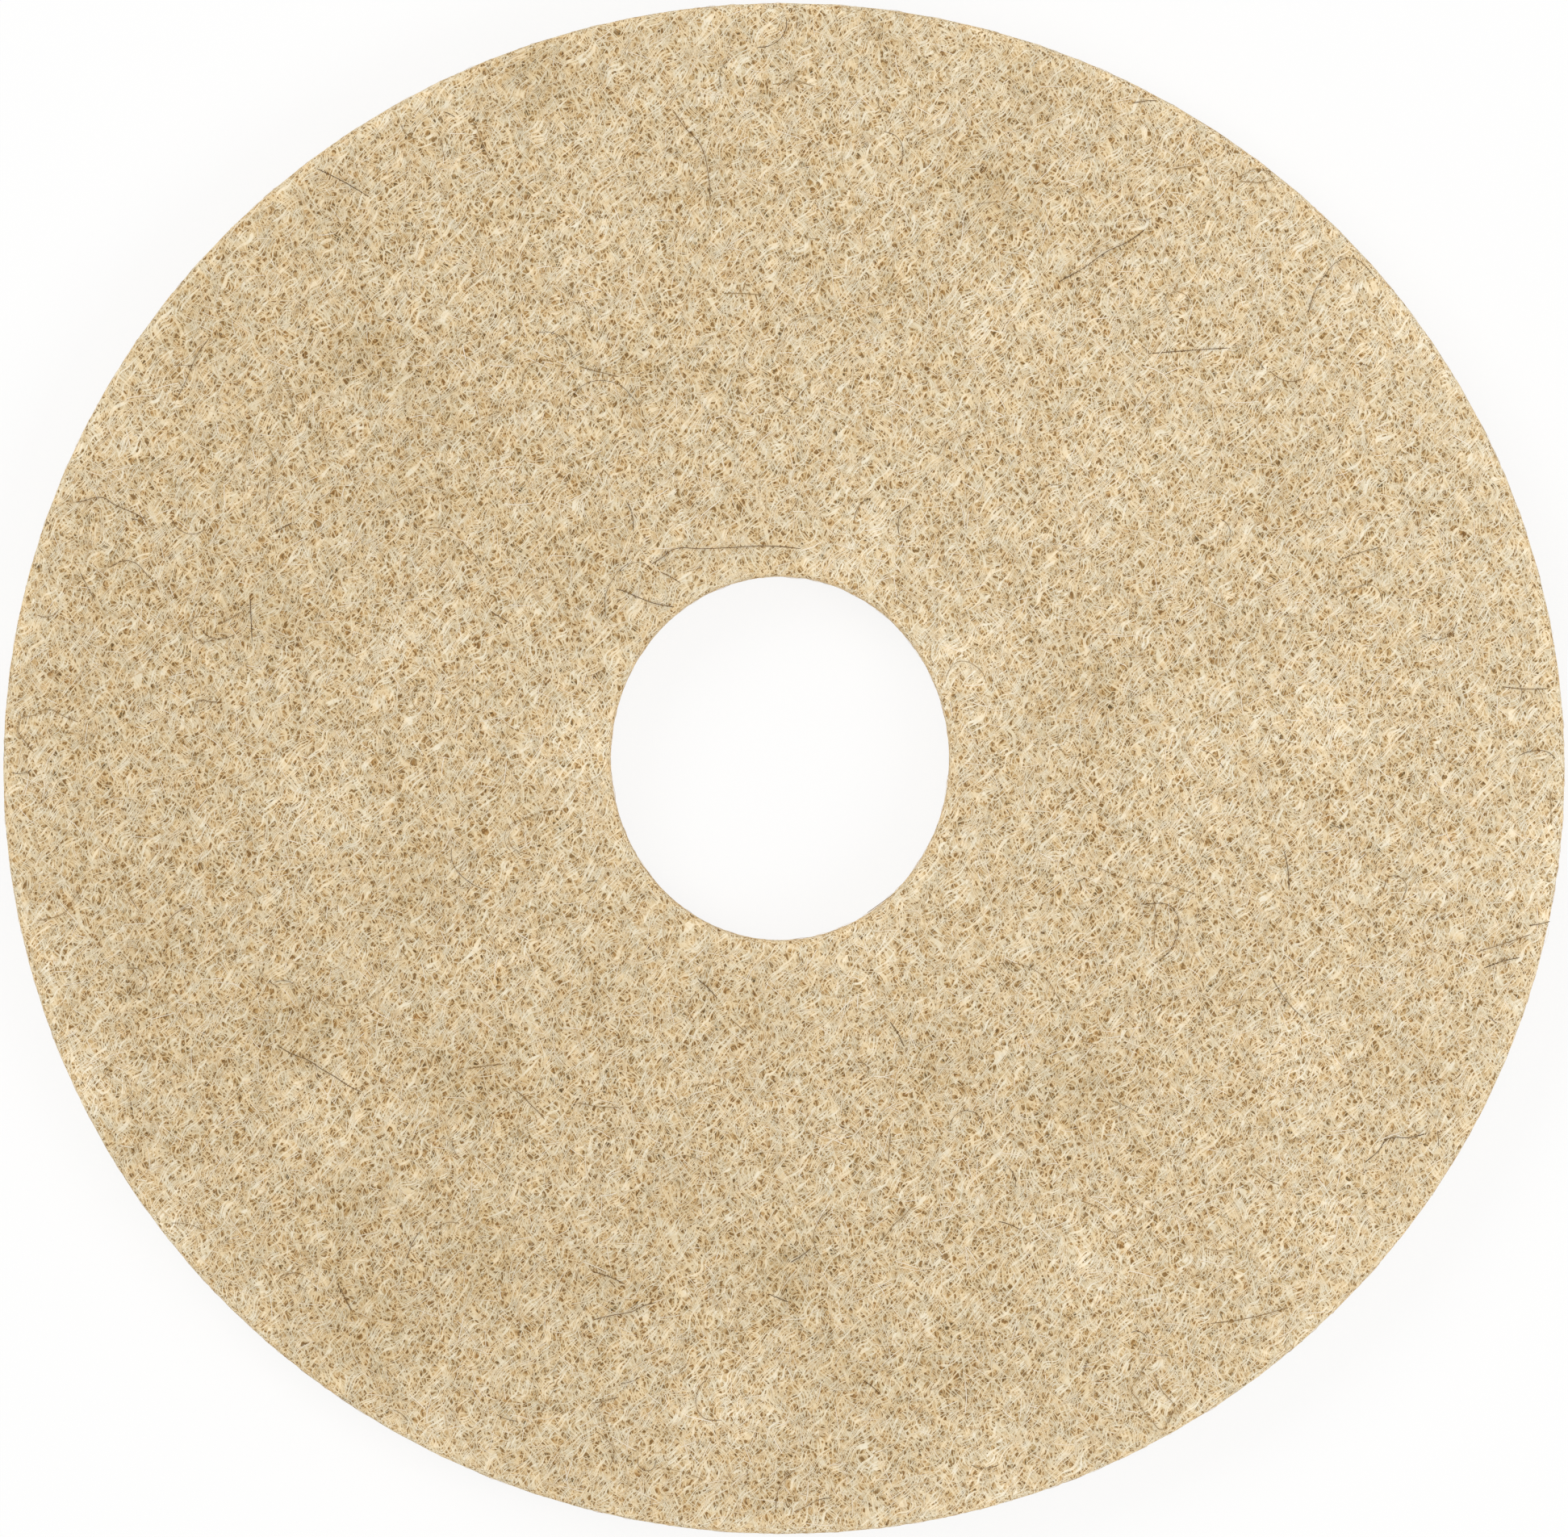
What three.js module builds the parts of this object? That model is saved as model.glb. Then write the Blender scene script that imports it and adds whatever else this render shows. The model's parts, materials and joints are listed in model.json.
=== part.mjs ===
// Floor polishing pad: one thick disc of springy nonwoven web, pale synthetic fibre bonded with natural hair,
// die-cut to a near-round outline with a centre hole for the ring that centres it under a floor machine.
// Millimetres, +Z up. The origin is on the plane of the underside, in the middle of the outer outline.
// Both faces are alike, because such a pad is turned over when its first face is worn.
import * as THREE from "three";

// Outer outline, an ellipse: the soft disc lies a little out of round
const padLengthX = 385;
const padWidthY = 377.4;
const padThickness = 25;

// Centre hole, an ellipse across the other way, a little off the middle
const holeLengthX = 83;
const holeWidthY = 89.2;
const holeOffsetX = -1;
const holeOffsetY = 2.5;

// Section beside both cuts: the faces ease down, a soft corner follows, and the cut wall is drawn in
const easeReach = 14;
const easeDrop = 0.9;
const cornerRadius = 2.4;
const wallWaist = 0.7;

// How finely the curves are stepped
const roundSteps = 96;
const easeSteps = 3;
const cornerSteps = 3;
const wallSteps = 4;

// Colour and finish of the bonded web
const webColour = "#d6bd92";
const webRoughness = 0.95;

const outerOutline = { x: 0, y: 0, semiX: padLengthX / 2, semiY: padWidthY / 2 };
const holeOutline = { x: holeOffsetX, y: holeOffsetY, semiX: holeLengthX / 2, semiY: holeWidthY / 2 };

// One cut edge, from the top face down to the underside, as points of { inset, height }:
// inset is how far a point lies from the outline, on the side of the web.
function cutEdge() {
  const cornerTop = padThickness - easeDrop;
  const wallTop = cornerTop - cornerRadius;
  const upperHalf = [];
  for (let step = 0; step < easeSteps; step++) {
    const share = step / easeSteps;
    const fall = (1 - Math.cos(Math.PI * share)) / 2;
    upperHalf.push({
      inset: cornerRadius + easeReach * (1 - share),
      height: padThickness - easeDrop * fall,
    });
  }
  for (let step = 0; step < cornerSteps; step++) {
    const turn = (Math.PI / 2) * (step / cornerSteps);
    upperHalf.push({
      inset: cornerRadius * (1 - Math.sin(turn)),
      height: wallTop + cornerRadius * Math.cos(turn),
    });
  }
  const wall = [];
  for (let step = 0; step <= wallSteps; step++) {
    const share = step / wallSteps;
    wall.push({
      inset: wallWaist * Math.sin(Math.PI * share),
      height: wallTop - (2 * wallTop - padThickness) * share,
    });
  }
  const lowerHalf = upperHalf.map(({ inset, height }) => ({ inset, height: padThickness - height })).reverse();
  return [...upperHalf, ...wall, ...lowerHalf];
}

// The whole section runs up the outer edge, across the top face, down the hole's edge and back along the underside.
function section() {
  const outer = cutEdge().reverse().map((point) => ({ ...point, outline: outerOutline, side: -1 }));
  const hole = cutEdge().map((point) => ({ ...point, outline: holeOutline, side: 1 }));
  return [...outer, ...hole, outer[0]];
}

// The section is turned into a ring, and each ring of points is then drawn out to its own ellipse.
function padGeometry() {
  const points = section();
  const profile = points.map(
    ({ outline, side, inset, height }) => new THREE.Vector2(outline.semiX + side * inset, height),
  );
  const ring = new THREE.LatheGeometry(profile, roundSteps);
  const place = ring.getAttribute("position");
  for (let index = 0; index < place.count; index++) {
    const { outline, side, inset, height } = points[index % points.length];
    const angle = (2 * Math.PI * Math.floor(index / points.length)) / roundSteps;
    place.setXYZ(
      index,
      outline.x + (outline.semiX + side * inset) * Math.cos(angle),
      outline.y + (outline.semiY + side * inset) * Math.sin(angle),
      height,
    );
  }
  ring.computeVertexNormals();
  return ring;
}

const bondedWeb = new THREE.MeshStandardMaterial({ color: webColour, roughness: webRoughness, metalness: 0 });

const pad = new THREE.Mesh(padGeometry(), bondedWeb);
pad.name = "polishing_pad";

const floorPad = new THREE.Group();
floorPad.add(pad);

export default floorPad;
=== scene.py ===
# %% [markdown]
# # A floor polishing pad of bonded fibre and natural hair
# A floor polishing pad is a thick disc of nonwoven web. Crimped synthetic fibres are carded into thin
# layers, mixed with natural hair, laid across each other and bonded with resin, and the disc is punched out
# with a die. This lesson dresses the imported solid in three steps: a soft body with a web in its material,
# loose strands that really lie over it, and single dark hairs. The solid itself stays the frame that
# everything is measured from.

# %% Load the frame
import json
import math
import random

import bmesh
import bpy
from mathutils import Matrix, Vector
from mathutils.bvhtree import BVHTree

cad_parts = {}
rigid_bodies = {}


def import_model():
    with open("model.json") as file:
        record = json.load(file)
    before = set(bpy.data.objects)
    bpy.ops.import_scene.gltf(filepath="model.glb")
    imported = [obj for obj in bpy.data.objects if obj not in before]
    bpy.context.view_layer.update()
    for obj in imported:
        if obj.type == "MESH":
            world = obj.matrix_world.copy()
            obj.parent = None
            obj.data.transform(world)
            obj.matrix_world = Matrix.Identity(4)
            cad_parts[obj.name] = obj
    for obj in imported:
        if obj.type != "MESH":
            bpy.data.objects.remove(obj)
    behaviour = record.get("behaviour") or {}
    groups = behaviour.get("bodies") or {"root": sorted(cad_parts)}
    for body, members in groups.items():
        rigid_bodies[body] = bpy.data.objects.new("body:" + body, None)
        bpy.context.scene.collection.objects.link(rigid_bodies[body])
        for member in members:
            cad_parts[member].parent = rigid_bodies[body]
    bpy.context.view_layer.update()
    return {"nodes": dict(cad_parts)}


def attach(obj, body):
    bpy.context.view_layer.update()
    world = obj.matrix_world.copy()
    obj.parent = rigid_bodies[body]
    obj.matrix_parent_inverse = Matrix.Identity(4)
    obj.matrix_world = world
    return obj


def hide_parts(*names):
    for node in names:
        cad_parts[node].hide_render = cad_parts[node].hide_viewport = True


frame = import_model()
MM = 0.001
dice = random.Random(27)

# %% [markdown]
# ## The outlines and the photograph's scale
# Both cuts are ellipses in the solid, the outer one a little wide and the hole a little tall. Strands and
# tone need to know how far they are from a cut, so the same numbers are kept here in millimetres. A spot in
# the photograph becomes a place on the pad with one scale, measured across the outer outline.

# %% Outlines and places
PAD_HALF = Vector((192.5, 188.7))
HOLE_HALF = Vector((41.5, 44.6))
HOLE_MIDDLE = Vector((-1.0, 2.5))
THICKNESS = 25.0
PHOTO_WIDTH = 1943
PHOTO_MIDDLE = Vector((971.4, 951.5))
PHOTO_SCALE = 0.1987


def on_pad(across, down):
    """The place in millimetres of a spot in the photograph."""
    return Vector((across - PHOTO_MIDDLE.x, PHOTO_MIDDLE.y - down)) * PHOTO_SCALE


def from_outer_cut(place):
    """About how many millimetres a place lies inside the outer cut."""
    share = Vector((place[0] / PAD_HALF.x, place[1] / PAD_HALF.y)).length
    return (1 - share) * (PAD_HALF.x + PAD_HALF.y) / 2


def from_hole_cut(place):
    """About how many millimetres a place lies outside the hole's cut."""
    x, y = place[0] - HOLE_MIDDLE.x, place[1] - HOLE_MIDDLE.y
    share = Vector((x / HOLE_HALF.x, y / HOLE_HALF.y)).length
    return (share - 1) * (HOLE_HALF.x + HOLE_HALF.y) / 2


print("from cut to cut along X:", round(PAD_HALF.x - HOLE_HALF.x + HOLE_MIDDLE.x, 1), "mm")

# %% [markdown]
# ## The camera
# The pad is seen straight from above with a long lens, so the walls of the hole hardly show. The picture is
# 1943 pixels wide, and the scale above gives the width in millimetres that it covers at the pad's widest
# height.

# %% Camera
CAMERA_AWAY = 6.0
WIDEST_HEIGHT = 21.7 * MM
SENSOR_WIDTH = 36
picture_width = PHOTO_WIDTH * PHOTO_SCALE * MM
camera_data = bpy.data.cameras.new("camera")
camera_data.sensor_width = SENSOR_WIDTH
camera_data.lens = SENSOR_WIDTH * CAMERA_AWAY / picture_width
camera_data.clip_end = 40
camera = bpy.data.objects.new("camera", camera_data)
camera.location = (0, 0, WIDEST_HEIGHT + CAMERA_AWAY)
bpy.context.scene.collection.objects.link(camera)
bpy.context.scene.camera = camera
bpy.context.scene.view_settings.view_transform = "Standard"
print("lens:", round(camera_data.lens), "mm")

# %% [markdown]
# ## Colours and nodes
# Colours are written as on a screen, in hex, and one function turns them into the linear values that
# Blender works with. Another small function adds any node with its settings and links, and a few short ones
# on top of it stand for the nodes that are needed most, so the graphs stay readable.


# %% Helpers for materials
def linear(hex_colour):
    """A screen colour such as #e8dab4 as linear red, green and blue, and a full alpha."""
    channels = [int(hex_colour[place:place + 2], 16) / 255 for place in (1, 3, 5)]
    return [c / 12.92 if c <= 0.04045 else ((c + 0.055) / 1.055) ** 2.4 for c in channels] + [1.0]


def add(material, kind, inputs=None, **settings):
    """Adds a node with its settings, and fills each input with a value or with another node's output."""
    node = material.node_tree.nodes.new(kind)
    for name, value in settings.items():
        setattr(node, name, value)
    for name, value in (inputs or {}).items():
        if isinstance(value, bpy.types.NodeSocket):
            material.node_tree.links.new(value, node.inputs[name])
        else:
            node.inputs[name].default_value = value
    return node


def work_out(material, operation, *values):
    """The result of a Math node."""
    return add(material, "ShaderNodeMath", dict(enumerate(values)), operation=operation).outputs[0]


def move(material, operation, *vectors):
    """The result of a Vector Math node."""
    return add(material, "ShaderNodeVectorMath", dict(enumerate(vectors)), operation=operation).outputs[0]


def stretch(material, value, old, new=(0.0, 1.0), **settings):
    """A Map Range node: it stretches one range of values over another."""
    return add(material, "ShaderNodeMapRange", {
        "Value": value, "From Min": old[0], "From Max": old[1], "To Min": new[0], "To Max": new[1],
    }, **settings).outputs[0]


def mix(material, share, below, above, how="MIX"):
    """A share of one colour laid over another, or multiplied with it."""
    return add(material, "ShaderNodeMix", {
        0: share, 6: below, 7: above}, data_type="RGBA", blend_type=how).outputs[2]


def own_shade(material, colours):
    """One of a few shades for each separate strand or hair, by its own random number."""
    number = add(material, "ShaderNodeNewGeometry").outputs["Random Per Island"]
    ramp = add(material, "ShaderNodeValToRGB", {"Fac": number})
    stops = ramp.color_ramp.elements
    while len(stops) < len(colours):
        stops.new(0.5)
    for stop, (where, shade) in zip(stops, colours.items()):
        stop.position = where
        stop.color = linear(shade)
    return ramp.outputs["Color"]


def new_material(name):
    """An empty node material."""
    material = bpy.data.materials.new(name)
    material.use_nodes = True
    material.node_tree.nodes.clear()
    return material


print("cream in linear light:", [round(c, 3) for c in linear("#e8dab4")[:3]])

# %% [markdown]
# ## Floor and light
# The stage is a plain pale floor under soft studio light. The world gives a little over half of the light,
# evenly, and two wide panels give the rest, at a level where a colour renders about as it is written. The
# camera sees the floor as nearly white, and some of its own shading is kept, so that the pad's soft shadow
# stays. From below the floor lets the view through.

# %% Floor
FLOOR_HALF = 12
FLOOR_HEIGHT = -0.05 * MM
SEEN_WHITE = 0.85
floor_mesh = bmesh.new()
bmesh.ops.create_grid(floor_mesh, x_segments=1, y_segments=1, size=FLOOR_HALF)
bmesh.ops.translate(floor_mesh, vec=(0, 0, FLOOR_HEIGHT), verts=floor_mesh.verts)
floor = bpy.data.objects.new("floor", bpy.data.meshes.new("floor"))
floor_mesh.to_mesh(floor.data)
floor_mesh.free()
bpy.context.scene.collection.objects.link(floor)

paper = new_material("matt white paper")
light_path = add(paper, "ShaderNodeLightPath")
geometry = add(paper, "ShaderNodeNewGeometry")
lit_paper = add(paper, "ShaderNodeBsdfDiffuse", {"Color": linear("#f6f5f3")})
bright_paper = add(paper, "ShaderNodeEmission", {"Strength": 1.0})
some_white = work_out(paper, "MULTIPLY", light_path.outputs["Is Camera Ray"], SEEN_WHITE)
seen_paper = add(paper, "ShaderNodeMixShader", {
    0: some_white, 1: lit_paper.outputs[0], 2: bright_paper.outputs[0]})
clear = add(paper, "ShaderNodeBsdfTransparent")
one_sided = add(paper, "ShaderNodeMixShader", {
    0: geometry.outputs["Backfacing"], 1: seen_paper.outputs[0], 2: clear.outputs[0]})
add(paper, "ShaderNodeOutputMaterial", {"Surface": one_sided.outputs[0]})
floor.data.materials.append(paper)

# %% Light
WORLD_STRENGTH = 0.615
world = bpy.data.worlds.new("studio")
world.use_nodes = True
background = world.node_tree.nodes["Background"]
background.inputs["Color"].default_value = (1, 1, 1, 1)
background.inputs["Strength"].default_value = WORLD_STRENGTH
bpy.context.scene.world = world

# Each panel: its place in metres and its power in watts
PANEL_SIZE = 1.6
PANELS = {"left_panel": ((-1.5, 1.2, 2.4), 30), "right_panel": ((1.6, -0.9, 2.4), 25)}
for name, (place, watts) in PANELS.items():
    panel = bpy.data.lights.new(name, "AREA")
    panel.shape = "SQUARE"
    panel.size = PANEL_SIZE
    panel.energy = watts
    lamp = bpy.data.objects.new(name, panel)
    lamp.location = place
    lamp.rotation_euler = (-Vector(place)).to_track_quat("-Z", "Y").to_euler()
    bpy.context.scene.collection.objects.link(lamp)
print("panels:", {name: watts for name, (place, watts) in PANELS.items()})

# %% [markdown]
# ## The soft body
# The web is springy and never lies quite flat, but a pad is firm enough to keep its die-cut form. Cloth
# would make it swell like a cushion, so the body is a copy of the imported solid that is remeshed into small
# even squares and then moved by three displacements. One draws it in by less than half a millimetre, and
# least on the walls, to leave room for the loose strands. One raises the broad uneven loft that carding
# leaves, and one roughens it at the size of the pits. The underside stays flatter, because the pad rests on
# it.

# %% Making a mesh of a finished piece
def apply_modifiers(piece):
    """Keeps the mesh that a piece's modifiers or curve settings make, as plain faces."""
    ready = piece.evaluated_get(bpy.context.evaluated_depsgraph_get())
    made = bpy.data.meshes.new_from_object(ready)
    if piece.type == "CURVE":
        finished = bpy.data.objects.new(piece.name, made)
        bpy.context.scene.collection.objects.link(finished)
        bpy.data.objects.remove(piece)
        finished.name = made.name
        return finished
    piece.modifiers.clear()
    piece.data = made
    return piece


def triangles(piece):
    """How many triangles a piece has."""
    return sum(len(face.vertices) - 2 for face in piece.data.polygons)


print("ready to make meshes")

# %% Body
BODY_SQUARE = 1.68
BODY_SINK = 0.45
RELAX_ROUNDS = 4
# How freely the surface moves: fully from this many mm inside a cut on, little at the cut, less underneath
LOOSE_FROM = 8
LOOSE_AT_CUT = 0.06
LOOSE_UNDERNEATH = 0.3
# The share of the sink that the walls get
WALL_SINK = 0.35
pad_solid = frame["nodes"]["polishing_pad"]
body_work = bmesh.new()
body_work.from_mesh(pad_solid.data)
bmesh.ops.remove_doubles(body_work, verts=body_work.verts, dist=0.01 * MM)
body = bpy.data.objects.new("web_body", bpy.data.meshes.new("web_body"))
body_work.to_mesh(body.data)
body_work.free()
bpy.context.scene.collection.objects.link(body)

squares = body.modifiers.new("even squares", "REMESH")
squares.mode = "VOXEL"
squares.voxel_size = BODY_SQUARE * MM
squares.use_smooth_shade = True
relax = body.modifiers.new("relax", "SMOOTH")
relax.iterations = RELAX_ROUNDS
snug = body.modifiers.new("snug", "SHRINKWRAP")
snug.target = pad_solid
body = apply_modifiers(body)
loose = body.vertex_groups.new(name="loose")
roomy = body.vertex_groups.new(name="roomy")
for vertex in body.data.vertices:
    inside = min(from_outer_cut(vertex.co / MM), from_hole_cut(vertex.co / MM))
    free = min(max(inside / LOOSE_FROM, LOOSE_AT_CUT), 1)
    free *= LOOSE_UNDERNEATH if vertex.co.z < THICKNESS / 2 * MM else 1
    loose.add([vertex.index], free, "REPLACE")
    roomy.add([vertex.index], WALL_SINK + (1 - WALL_SINK) * abs(vertex.normal.z), "REPLACE")

sink = body.modifiers.new("room for strands", "DISPLACE")
sink.strength = -BODY_SINK * MM
sink.mid_level = 0
sink.vertex_group = "roomy"
# Each unevenness: its size and its height in mm
UNEVENNESS = {"loft": (9.0, 0.8), "pits": (2.4, 0.7)}
for name, (size, height) in UNEVENNESS.items():
    clouds = bpy.data.textures.new(name, "CLOUDS")
    clouds.noise_scale = size * MM
    clouds.noise_depth = 1
    bumps = body.modifiers.new(name, "DISPLACE")
    bumps.texture = clouds
    bumps.texture_coords = "LOCAL"
    bumps.strength = height * MM
    bumps.vertex_group = "loose"
body = apply_modifiers(body)
body.vertex_groups.clear()
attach(body, "root")
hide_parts("polishing_pad")
print("body:", triangles(body), "triangles")

# %% [markdown]
# ## Tone over the pad
# Such a web is never mixed evenly: where more hair and resin gathered, broad patches a few centimetres wide
# look darker, and others stay pale. Both cuts have a paler border too: fewer pits open there, where the die
# squeezes the fibres together, and painted light brightens the colour where the rounded edge and the walls
# would fall into shade. A short list of patches, read off the photograph, and the distance from the cuts are
# painted on the points of each piece as two attributes, so the body and the strands on it change tone
# together.

# %% Patches and rim
# Patches by their spot in the photograph, with their strength
DARK_PATCHES = {
    (457, 447): 1.0, (330, 758): 0.7, (117, 884): 0.2, (204, 1175): 0.5, (369, 1273): 0.9,
    (583, 1341): 1.1, (525, 1107): 0.7, (457, 1486): 0.8, (602, 1564): 1.1, (457, 1642): 1.0,
    (748, 1593): 0.8, (971, 1574): 1.1, (1050, 1700): 0.6, (1205, 1690): 0.5, (738, 1224): 0.4,
    (933, 1263): 0.4, (1234, 233): 1.0, (660, 80): 1.2, (408, 272): 0.5, (253, 389): 0.5, (719, 700): 0.5,
    (1117, 389): 0.4, (1341, 855): 0.8, (1554, 777): 0.5, (1399, 1127): 0.2, (1535, 1205): 0.3,
    (1341, 1341): 1.0, (1166, 1321): 0.6, (1593, 583): 0.5, (1768, 1321): 0.5, (880, 230): 0.5,
    (800, 480): 0.4, (1099, 25): 0.7, (1290, 110): 0.6, (829, 27): 0.5, (543, 501): 0.5, (841, 1484): 0.5,
    (500, 610): 0.6,
}
PALE_PATCHES = {
    (1729, 408): 0.6, (1924, 1069): 0.8, (1632, 894): 0.8, (1603, 1302): 0.9, (1632, 1516): 0.6,
    (1477, 933): 0.5, (719, 933): 1.0, (1069, 680): 0.9, (1205, 816): 0.8, (1360, 583): 0.6,
    (1244, 389): 0.5, (738, 291): 0.3, (389, 991): 0.8, (398, 1380): 0.7, (505, 797): 0.6,
    (894, 1749): 0.8, (1214, 1817): 0.8, (1360, 1574): 0.6, (1069, 1185): 0.6, (155, 525): 0.6,
    (1100, 480): 0.4, (213, 1518): 0.9, (100, 1340): 1.2, (50, 1190): 0.8, (35, 1000): 0.4,
    (522, 1776): 0.6, (596, 1192): 0.5, (277, 1640): 0.5, (35, 760): 0.4,
}
PATCH_SIZE = 11.0
PATCH_END = 6  # where a patch has faded out, in squared sizes
# The whole pad grows paler towards +X and a little towards +Y
PALER_ACROSS = 0.5
PALER_UP = 0.15
RIM_WIDTH = 8.0
patches = [(on_pad(*spot), -strength) for spot, strength in DARK_PATCHES.items()]
patches += [(on_pad(*spot), strength) for spot, strength in PALE_PATCHES.items()]


def paint_tone(piece):
    """Paints each point with the tone of the patches round it, and with how near a cut it is."""
    tone = piece.data.attributes.new("tone", "FLOAT", "POINT")
    rim = piece.data.attributes.new("rim", "FLOAT", "POINT")
    for number, vertex in enumerate(piece.data.vertices):
        place = vertex.co.xy / MM
        value = PALER_ACROSS * place.x / PAD_HALF.x + PALER_UP * place.y / PAD_HALF.y
        for middle, strength in patches:
            away = (place - middle).length_squared / PATCH_SIZE ** 2
            if away < PATCH_END:
                value += strength * math.exp(-away)
        tone.data[number].value = value
        inside = min(from_outer_cut(place), from_hole_cut(place))
        rim.data[number].value = math.exp(-max(inside, 0) / RIM_WIDTH)


paint_tone(body)
print("patches:", len(patches))

# %% [markdown]
# ## The web in the body's material
# Polyester fibre bonded with resin: dull cream, tan where the fibres leave a pit open, and brown at the
# bottom; the tan and brown are partly the resin and hair and partly painted shade, darker deeper in the web.
# The material is built as the web is, from the bottom up, and each layer covers part of what lies below.
# Most layers are a noise that is stretched along one direction, so that it breaks into strokes. Two are the
# edges of Voronoi cells, as fibres that run round the pits, and one is short brown specks of resin.
# The pits lie in the same cells, and they open by thinning the upper layers. Real fibres are about 0.05 mm
# thick, too fine to show, so these are 0.2 to 0.4 mm wide.

# %% Places in the web
web = new_material("bonded polyester web")
place = add(web, "ShaderNodeTexCoord").outputs["Object"]
tone = add(web, "ShaderNodeAttribute", attribute_name="tone").outputs["Fac"]
rim = add(web, "ShaderNodeAttribute", attribute_name="rim").outputs["Fac"]
in_mm = move(web, "MULTIPLY", place, (1000, 1000, 1000))


def wander(often, reach):
    """The places, each pushed aside by up to half the reach in mm, so that what is drawn on them bends."""
    noise = add(web, "ShaderNodeTexNoise", {"Vector": in_mm, "Scale": often, "Detail": 0.0})
    push = move(web, "SUBTRACT", noise.outputs["Color"], (0.5, 0.5, 0.5))
    return move(web, "MULTIPLY_ADD", push, reach, in_mm)


crimped = wander(0.45, (1.5, 1.5, 1.5))
bent = wander(0.19, (4, 4, 1.5))
print("nodes for places:", len(web.node_tree.nodes))

# %% Pits
# Each size of pit: its cell in mm, and how far the deepest open
PIT_SIZES = [(3.2, 0.5), (1.7, 0.75)]
PIT_WIDTHS = (0.26, 0.62)  # in cells
PIT_SIDE = (-0.15, 0.25)  # a pit's soft side, in cells
SHALLOWEST = 0.35  # a share of the deepest
GATHER_SIZE = 8  # pits gather in groups of about this many mm
FEWER_WHERE_PALE = -0.06
FEWER_AT_RIM = -0.35
gathered = add(web, "ShaderNodeTexNoise", {
    "Vector": in_mm, "Scale": 1 / GATHER_SIZE, "Detail": 1.0, "Roughness": 0.6}).outputs["Fac"]
gathered = work_out(web, "MULTIPLY_ADD", tone, FEWER_WHERE_PALE, gathered)
gathered = work_out(web, "MULTIPLY_ADD", rim, FEWER_AT_RIM, gathered)
gathered = stretch(web, gathered, (0.15, 0.65), (0.3, 1.1))
openings, hues, edges = [], [], {}
for cell, deepest in PIT_SIZES:
    pits = add(web, "ShaderNodeTexVoronoi", {"Vector": crimped, "Scale": 1 / cell})
    own = add(web, "ShaderNodeSeparateColor", {0: pits.outputs["Color"]})
    width = stretch(web, own.outputs[0], (0, 1), PIT_WIDTHS)
    inside = work_out(web, "SUBTRACT", width, pits.outputs["Distance"])
    inside = stretch(web, inside, PIT_SIDE, interpolation_type="SMOOTHSTEP")
    deep = stretch(web, own.outputs[1], (0, 1), (SHALLOWEST * deepest, deepest))
    openings.append(work_out(web, "MULTIPLY", inside, deep))
    hues.append(own.outputs[2])
    edges[cell] = add(web, "ShaderNodeTexVoronoi", {
        "Vector": crimped, "Scale": 1 / cell}, feature="DISTANCE_TO_EDGE").outputs["Distance"]
hue = hues[0]
openness = work_out(web, "MULTIPLY", work_out(web, "MAXIMUM", *openings), gathered)
print("sizes of pit:", [cell for cell, deepest in PIT_SIZES], "mm")

# %% Layers of fibre
# Each layer, from the bottom up. Strokes: width and length in mm. Net: width of its lines and its cell in
# mm. Then where it starts (lower covers more), how much a pit thins it, and its colour.
# The colours darken from the top layers down: partly the tan of resin and hair, partly painted shade deeper
# in the web
LAYERS = [
    ("strokes", 0.36, 2.4, 0.38, 0.02, "#b28f5e"),
    ("strokes", 0.29, 2.7, 0.48, 0.08, "#c9ac7e"),
    ("strokes", 0.25, 2.9, 0.49, 0.13, "#d3b98f"),
    ("net", 0.26, 3.2, 0.10, 0.14, "#dcc69f"),
    ("strokes", 0.22, 3.2, 0.53, 0.17, "#dcc8a3"),
    ("strokes", 0.26, 0.45, 0.59, -0.12, "#8f7046"),  # specks
    ("net", 0.17, 1.7, 0.10, 0.26, "#ebd9b7"),
    ("strokes", 0.17, 4.5, 0.57, 0.08, "#efdfbf"),
    ("strokes", 0.17, 5.5, 0.59, 0.03, "#f8ebd1"),
]
LONG = 4  # strokes longer than this many mm are bent, shorter ones crimped
FIRST_TURN = 130
NEXT_TURN = 67.5
NEXT_PLACE = Vector((31.7, 17.3, 5.1))
SOFT_START = 0.01
SOFTNESS = {"strokes": 0.07, "net": 0.5}
FULL_COVER = 0.94
RELIEF_LAYERS = 2
RELIEF_SHARE = 1.5
# The bottom of the web: dark brown, partly resin and partly painted shade at the bottom of the open pits
colour = mix(web, hue, linear("#785a35"), linear("#6a5a3e"))
relief_height = 0.0
for number, (kind, width, length, start, thinning, shade) in enumerate(LAYERS):
    if kind == "net":
        height = work_out(web, "MULTIPLY_ADD", edges[length], -length / width, 1.0)
    else:
        turned = add(web, "ShaderNodeMapping", {
            "Vector": bent if length > LONG else crimped, "Location": number * NEXT_PLACE,
            "Rotation": (0, 0, math.radians(NEXT_TURN * number + FIRST_TURN))}).outputs[0]
        drawn_out = move(web, "MULTIPLY", turned, (1 / length, 1 / width, 0.8 / width))
        height = add(web, "ShaderNodeTexNoise", {
            "Vector": drawn_out, "Scale": 0.5, "Detail": 0.0}).outputs[0]
    thinned = work_out(web, "MULTIPLY_ADD", openness, -thinning, height)
    cover = stretch(web, thinned, (start - SOFT_START, start + SOFTNESS[kind]), (0, FULL_COVER))
    colour = mix(web, cover, colour, linear(shade))
    if number >= len(LAYERS) - RELIEF_LAYERS:
        relief_height = work_out(web, "MULTIPLY_ADD", height, RELIEF_SHARE, relief_height)
print("layers of fibre:", len(LAYERS))

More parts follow.
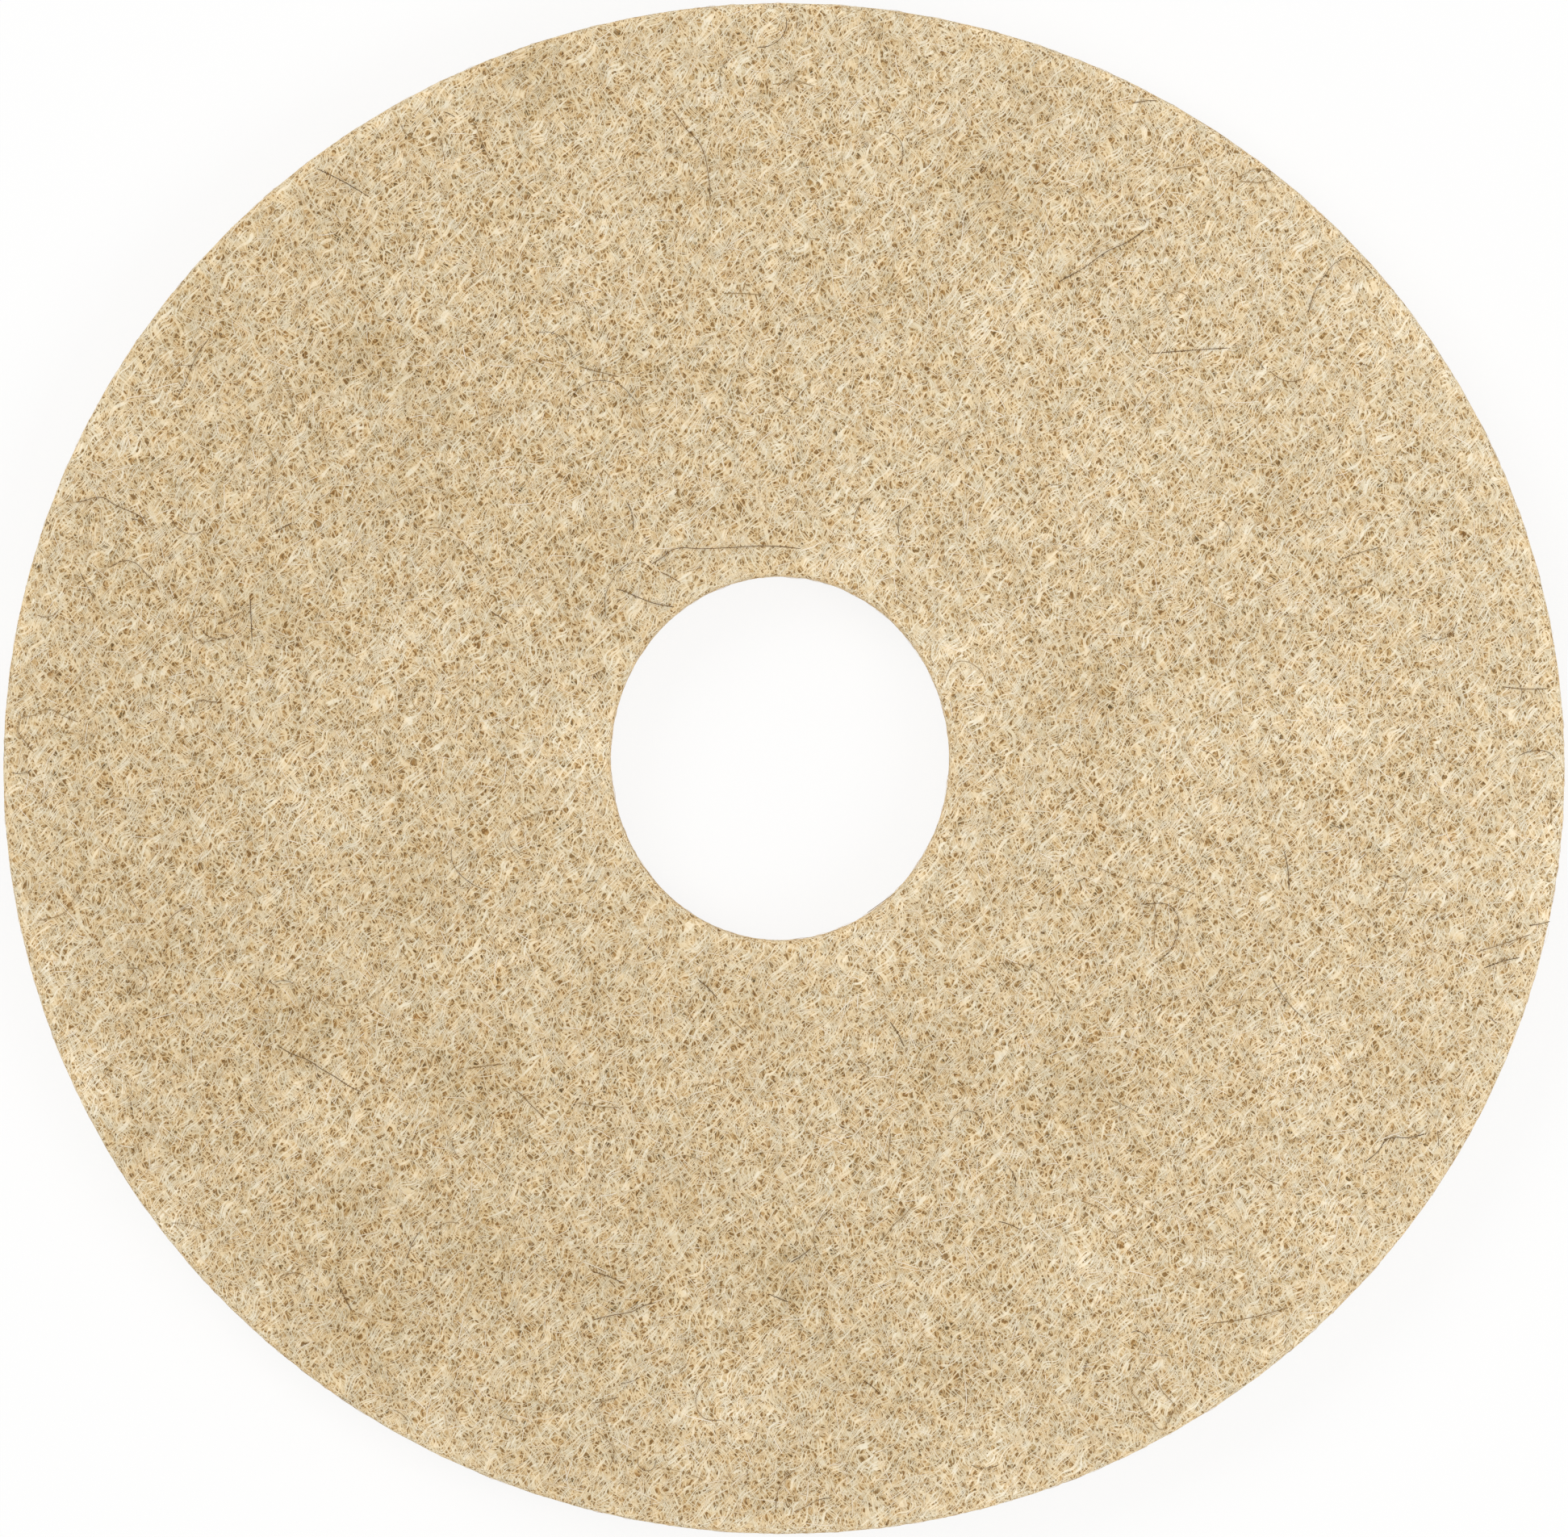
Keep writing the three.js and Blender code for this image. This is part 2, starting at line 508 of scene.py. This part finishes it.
# %% Web finish
# What a patch of tone does to red, green and blue where it is -1 and where it is 1
DARK_TONE = (0.893, 0.872, 0.827)
PALE_TONE = (1.107, 1.128, 1.173)


def tone_light(material, tone):
    """How much the patches darken or brighten each colour."""
    return add(material, "ShaderNodeMapRange", {
        "Vector": tone, 7: (-1, -1, -1), 8: (1, 1, 1), 9: DARK_TONE, 10: PALE_TONE,
    }, data_type="FLOAT_VECTOR").outputs[1]


# Resin and painted shade give an open pit a honey tint, through the fibres over it too
pit_resin_and_shade = mix(web, hue, linear("#e8c58a"), linear("#dccd9c"))
colour = mix(web, work_out(web, "MULTIPLY", openness, 0.6), colour, pit_resin_and_shade, "MULTIPLY")
# The blend of fibres drifts a little between warm and cool every few millimetres
drift = add(web, "ShaderNodeTexNoise", {"Vector": in_mm, "Scale": 1 / 3.0, "Detail": 0.0}).outputs["Fac"]
drift = mix(web, stretch(web, drift, (0.35, 0.65)), linear("#fff9ee"), linear("#fbfdfe"))
colour = mix(web, 1.0, colour, drift, "MULTIPLY")
# Painted light: near the cuts and on the walls the colour is brightened, to lift the shade where the rounded
# edge turns away from the lamps
rim_painted_light = work_out(web, "MULTIPLY_ADD", work_out(web, "POWER", rim, 4.0), 0.2, 1.0)
light = add(web, "ShaderNodeVectorMath", {0: tone_light(web, tone), "Scale": rim_painted_light}, operation="SCALE")
colour = mix(web, 1.0, colour, light.outputs[0], "MULTIPLY")
relief = add(web, "ShaderNodeBump", {"Height": relief_height, "Strength": 1.0, "Distance": 0.2 * MM})
web_finish = add(web, "ShaderNodeBsdfPrincipled", {
    "Base Color": colour, "Roughness": 0.92, "IOR": 1.5, "Specular IOR Level": 0.25,
    "Normal": relief.outputs[0]})
add(web, "ShaderNodeOutputMaterial", {"Surface": web_finish.outputs[0]})
body.data.materials.append(web)
print("nodes in the web:", len(web.node_tree.nodes))

# %% [markdown]
# ## Loose strands
# On the real pad the top fibres arch out of the web and dive back in. Each strand here is one short Bezier
# arc with a three-sided section. Its ends are sunk in the body and its handles are lifted and pushed aside,
# so the arc shows, casts its own small shadow, and can be looked at from the side. Thousands of them share
# one piece, so each arc has only a few dozen faces.

# %% One strand
RAY_START = 6  # mm outside the body, and as deep inside it
SUNK_END = -0.3
surface = BVHTree.FromObject(body, bpy.context.evaluated_depsgraph_get())
section = bpy.data.curves.new("strand_section", "CURVE")
corners = section.splines.new("POLY")
corners.points.add(2)
for point, (across, up) in zip(corners.points, ((1, -0.2), (0, 0.35), (-1, -0.2))):
    point.co = (across, up, 0, 1)
corners.use_cyclic_u = True
section_shape = bpy.data.objects.new("strand_section", section)


def new_strands(name, steps):
    """An empty bundle of strands."""
    curve = bpy.data.curves.new(name, "CURVE")
    curve.dimensions = "3D"
    curve.resolution_u = steps
    curve.bevel_mode = "OBJECT"
    curve.bevel_object = section_shape
    curve.twist_mode = "Z_UP"
    curve.use_fill_caps = True
    bundle = bpy.data.objects.new(name, curve)
    bpy.context.scene.collection.objects.link(bundle)
    return bundle


def on_surface(place, outward, lift):
    """The point of the body's surface near a place, lifted by some millimetres."""
    found = surface.ray_cast(place + outward * RAY_START * MM, -outward, 2 * RAY_START * MM)[0]
    return (found if found else place) + outward * lift * MM


def lay_strand(bundle, start, along, aside, outward, length, bows, lift, width, tilt=0.0):
    """Lays one arc on the body: it starts sunk, bows to the side, rises and dives in again."""
    end = start + along * length
    hold_one = start + along * length * 0.33 + aside * bows[0]
    hold_two = start + along * length * 0.67 + aside * bows[1]
    points = [on_surface(p, outward, h) for p, h in (
        (start, SUNK_END), (hold_one, lift), (hold_two, lift), (end, SUNK_END))]
    arc = bundle.data.splines.new("BEZIER")
    arc.use_smooth = False
    arc.bezier_points.add(1)
    first, last = arc.bezier_points
    first.co, first.handle_left, first.handle_right = points[0], points[0], points[1]
    last.co, last.handle_left, last.handle_right = points[3], points[2], points[3]
    first.radius = last.radius = width * MM / 2
    first.tilt = last.tilt = tilt


print("surface ready for strands")


# %% Strands on the faces
ARC_STEPS = 4
FACE_COUNT = 7200
FACE_LENGTHS = (3, 11)
FACE_WIDTHS = (0.14, 0.22)
FACE_MARGIN = 1.2
HIGHEST_LIFT = {1: 0.5, -1: 0.15}


def face_level(side):
    """A height 1 mm below the top face (side 1) or above the underside (side -1), in mm."""
    return THICKNESS / 2 + side * (THICKNESS / 2 - 1)


def from_cuts(place):
    """About how many millimetres a place lies from the nearer cut."""
    return min(from_outer_cut(place), from_hole_cut(place))


def lay_face_strands(name, count, side):
    """Scatters strands over the top face (side 1) or the underside (side -1)."""
    bundle = new_strands(name, ARC_STEPS)
    outward = Vector((0, 0, side))
    while len(bundle.data.splines) < count:
        spot = Vector((dice.uniform(-1, 1) * PAD_HALF.x, dice.uniform(-1, 1) * PAD_HALF.y))
        length = dice.uniform(*FACE_LENGTHS)
        turn = dice.uniform(0, math.tau)
        along = Vector((math.cos(turn), math.sin(turn)))
        tip = spot + along * length
        if min(from_cuts(spot), from_cuts(tip)) < FACE_MARGIN:
            continue
        bows = [dice.gauss(0, 0.1) * length * MM for hold in range(2)]
        start = Vector((*spot, face_level(side))) * MM
        lift = dice.uniform(0.0, HIGHEST_LIFT[side])
        width = dice.uniform(*FACE_WIDTHS)
        lay_strand(bundle, start, along.to_3d() * MM, Vector((-along.y, along.x, 0)), outward,
                   length, bows, lift, width)
    return bundle


strand_pieces = [
    lay_face_strands("top_strands_lower", FACE_COUNT, 1),
    lay_face_strands("top_strands_upper", FACE_COUNT, 1),
    lay_face_strands("underside_strands", FACE_COUNT, -1),
]
print("strands on the faces:", [len(piece.data.splines) for piece in strand_pieces])


# %% Strands on the cut walls
WALL_LENGTHS = (2, 8)
WALL_WIDTHS = (0.14, 0.26)
WALL_SLOPE = 0.22
WALL_START_MARGIN = 2.2
WALL_END_MARGIN = 1.5


def lay_wall_strands(name, count, half, middle, side):
    """Scatters short strands over a cut wall, mostly level, because the web is built of level layers."""
    bundle = new_strands(name, ARC_STEPS)
    for number in range(count):
        turn = dice.uniform(0, math.tau)
        height = dice.uniform(WALL_START_MARGIN, THICKNESS - WALL_START_MARGIN)
        out = Vector((math.cos(turn) / half.x, math.sin(turn) / half.y, 0)).normalized() * side
        spot = (middle.x + half.x * math.cos(turn), middle.y + half.y * math.sin(turn), height)
        start = Vector(spot) * MM
        level_way = Vector((-out.y, out.x, 0)) * dice.choice((-1, 1))
        slope = dice.gauss(0, WALL_SLOPE)
        along = (level_way + Vector((0, 0, slope))).normalized()
        length = dice.uniform(*WALL_LENGTHS)
        rise = start.z / MM + along.z * length
        if not WALL_END_MARGIN < rise < THICKNESS - WALL_END_MARGIN:
            continue
        bows = [dice.gauss(0, 0.13) * length * MM for hold in range(2)]
        lift = dice.uniform(0.0, HIGHEST_LIFT[1])
        width = dice.uniform(*WALL_WIDTHS)
        lay_strand(bundle, start, along * MM, Vector((0, 0, 1)), out,
                   length, bows, lift, width, math.pi / 2)
    return bundle


strand_pieces += [
    lay_wall_strands("outer_wall_strands", 4200, PAD_HALF, Vector((0, 0)), 1),
    lay_wall_strands("hole_wall_strands", 950, HOLE_HALF, HOLE_MIDDLE, -1),
]
strand_pieces = [apply_modifiers(piece) for piece in strand_pieces]
for piece in strand_pieces:
    paint_tone(piece)
    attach(piece, "root")
print({piece.name: triangles(piece) for piece in strand_pieces})

# %% [markdown]
# ## The strands' material
# The same polyester fibre, seen singly: cream to tan, each strand with its own shade, because fibres of
# several lots are blended. Random Per Island gives every strand its own number, and a colour ramp turns
# that into shades.

# %% Strand material
FIBRE_COLOURS = {0.0: "#d3b68a", 0.12: "#e0c9a2", 0.5: "#ebdab9", 0.85: "#f3e4ca", 1.0: "#f7ecd8"}
fibre = new_material("crimped polyester fibre")
fibre_tone = add(fibre, "ShaderNodeAttribute", attribute_name="tone").outputs["Fac"]
fibre_colour = mix(fibre, 1.0, own_shade(fibre, FIBRE_COLOURS), tone_light(fibre, fibre_tone), "MULTIPLY")
fibre_finish = add(fibre, "ShaderNodeBsdfPrincipled", {
    "Base Color": fibre_colour, "Roughness": 0.7, "IOR": 1.57, "Specular IOR Level": 0.3})
add(fibre, "ShaderNodeOutputMaterial", {"Surface": fibre_finish.outputs[0]})
for piece in strand_pieces:
    piece.data.materials.append(fibre)
print("shades of fibre:", len(FIBRE_COLOURS))

# %% [markdown]
# ## Natural hair
# Long hairs, brown to grey, run through the web and give this kind of pad its name in the trade. The ones
# that stand out in the photograph are laid along a few points each, and many short ones are scattered
# between them. A hair rises and dips as it goes, so the web hides parts of it.

# %% Hairs
# The points of each hair, by their spots in the photograph
HAIRS = [
    [(805, 700), (835, 680), (905, 678), (1000, 680)], [(762, 729), (785, 737), (811, 747), (845, 753)],
    [(813, 706), (845, 723)], [(830, 130), (868, 180), (880, 251)], [(385, 205), (460, 245)],
    [(1400, 128), (1445, 125)],
    [(1528, 222), (1556, 209), (1572, 212), (1578, 221), (1560, 226), (1531, 225)],
    [(1489, 202), (1450, 210)], [(1310, 350), (1372, 311), (1420, 283)], [(895, 363), (955, 367)],
    [(1420, 438), (1535, 430)], [(717, 453), (741, 460), (768, 467)],
    [(65, 621), (128, 616), (154, 630), (183, 645)],
    [(310, 729), (313, 800)], [(301, 756), (268, 774)], [(366, 645), (333, 662)],
    [(605, 755), (635, 773)],
    [(45, 935), (22, 905), (25, 890), (60, 878), (100, 895)], [(235, 890), (245, 868), (280, 870)],
    [(1590, 1050), (1597, 1105)], [(1858, 850), (1925, 852)], [(1427, 1105), (1432, 1140), (1430, 1176)],
    [(1075, 1130), (1110, 1105)], [(1920, 975), (1922, 1025)], [(1893, 1146), (1920, 1141)],
    [(1825, 1180), (1915, 1150)], [(1835, 1200), (1885, 1185)], [(155, 1099), (171, 1127)],
    [(25, 1143), (80, 1130), (105, 1095)], [(1089, 1537), (1106, 1518), (1135, 1488)],
    [(637, 1349), (657, 1367), (676, 1387)], [(710, 1365), (739, 1370), (768, 1371)],
    [(340, 1292), (383, 1313), (415, 1333), (450, 1353)], [(576, 1324), (626, 1317)],
    [(732, 1635), (783, 1624), (815, 1612)], [(734, 1574), (778, 1592)], [(732, 1738), (769, 1729)],
    [(415, 1582), (440, 1630)], [(985, 1819), (966, 1840), (961, 1870)], [(1102, 1264), (1121, 1298)],
    [(863, 1211), (891, 1239)], [(903, 1260), (930, 1284)], [(1236, 1512), (1265, 1523)],
    [(1337, 1486), (1370, 1501)], [(978, 1564), (1006, 1545)], [(950, 1601), (979, 1613)],
    [(1068, 1708), (1092, 1728)], [(1690, 1440), (1720, 1410), (1770, 1403)], [(1490, 1640), (1600, 1618)],
    [(1421, 1684), (1402, 1722), (1415, 1745), (1440, 1770), (1455, 1745), (1425, 1692)],
    [(955, 105), (985, 100), (1015, 108)],
]
HAIR_STEPS = 5
HAIR_WIDTH = 0.17
HAIR_LIFTS = (0.35, 0.75)
HAIR_SUNK_END = -0.1
LESS_UNDERNEATH = 0.3
hairs = new_strands("natural_hairs", HAIR_STEPS)


def lay_hair(places, width, side=1):
    """Lays one hair through a list of places in millimetres, rising and dipping on the way."""
    outward = Vector((0, 0, side))
    hair = hairs.data.splines.new("BEZIER")
    hair.bezier_points.add(len(places) - 1)
    for number, (point, spot) in enumerate(zip(hair.bezier_points, places)):
        at_end = number in (0, len(places) - 1)
        lift = HAIR_SUNK_END
        if not at_end:
            lift = dice.uniform(*HAIR_LIFTS) * (1 if side == 1 else LESS_UNDERNEATH)
        point.co = on_surface(Vector((*spot, face_level(side))) * MM, outward, lift)
        point.handle_left_type = point.handle_right_type = "AUTO"
        point.radius = width * MM / 2


def with_middles(places):
    """The same line with a point added halfway along each stretch, a little to one side."""
    longer = [places[0]]
    for here, there in zip(places, places[1:]):
        aside = Vector((here.y - there.y, there.x - here.x)) * dice.uniform(-0.05, 0.05)
        longer += [(here + there) / 2 + aside, there]
    return longer


for spots in HAIRS:
    lay_hair(with_middles([on_pad(*spot) for spot in spots]), HAIR_WIDTH)
print("hairs laid from the photograph:", len(HAIRS))

# %% Scattered hairs
SCATTERED_COUNT = 170
SCATTERED_WIDTHS = (0.09, 0.15)
SCATTERED_MARGIN = 0.8
SHORTEST_HAIR = 2.5
LONGEST_HAIR = 28
for side in (1, -1):
    laid = 0
    while laid < SCATTERED_COUNT:
        spot = Vector((dice.uniform(-1, 1) * PAD_HALF.x, dice.uniform(-1, 1) * PAD_HALF.y))
        length = min(dice.expovariate(1 / 6) + SHORTEST_HAIR, LONGEST_HAIR)
        turn = dice.uniform(0, math.tau)
        curl = dice.gauss(0, 0.05)
        places = [spot]
        for step in range(3):
            places.append(places[-1] + Vector((math.cos(turn), math.sin(turn))) * length / 3)
            turn += curl * length
            curl += dice.gauss(0, 0.02)
        if min(from_cuts(p) for p in places) < SCATTERED_MARGIN:
            continue
        lay_hair(places, dice.uniform(*SCATTERED_WIDTHS), side)
        laid += 1
hairs = apply_modifiers(hairs)
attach(hairs, "root")
print("hairs:", triangles(hairs), "triangles")

# %% Hair material
HAIR_COLOURS = {0.0: "#5e432a", 0.4: "#7a5a38", 0.75: "#98764b", 1.0: "#ad9064"}
hair = new_material("natural animal hair")
hair_finish = add(hair, "ShaderNodeBsdfPrincipled", {
    "Base Color": own_shade(hair, HAIR_COLOURS), "Roughness": 0.55, "IOR": 1.55,
    "Specular IOR Level": 0.2})
add(hair, "ShaderNodeOutputMaterial", {"Surface": hair_finish.outputs[0]})
hairs.data.materials.append(hair)
print("shades of hair:", len(HAIR_COLOURS))

# %% [markdown]
# ## Count the triangles
# The triangles of all the pieces are counted together. The dressed pad has to stay about inside the
# solid's box.

# %% Finish
bpy.context.view_layer.update()
print("triangles in all:", sum(triangles(piece) for piece in [body, hairs, *strand_pieces]))
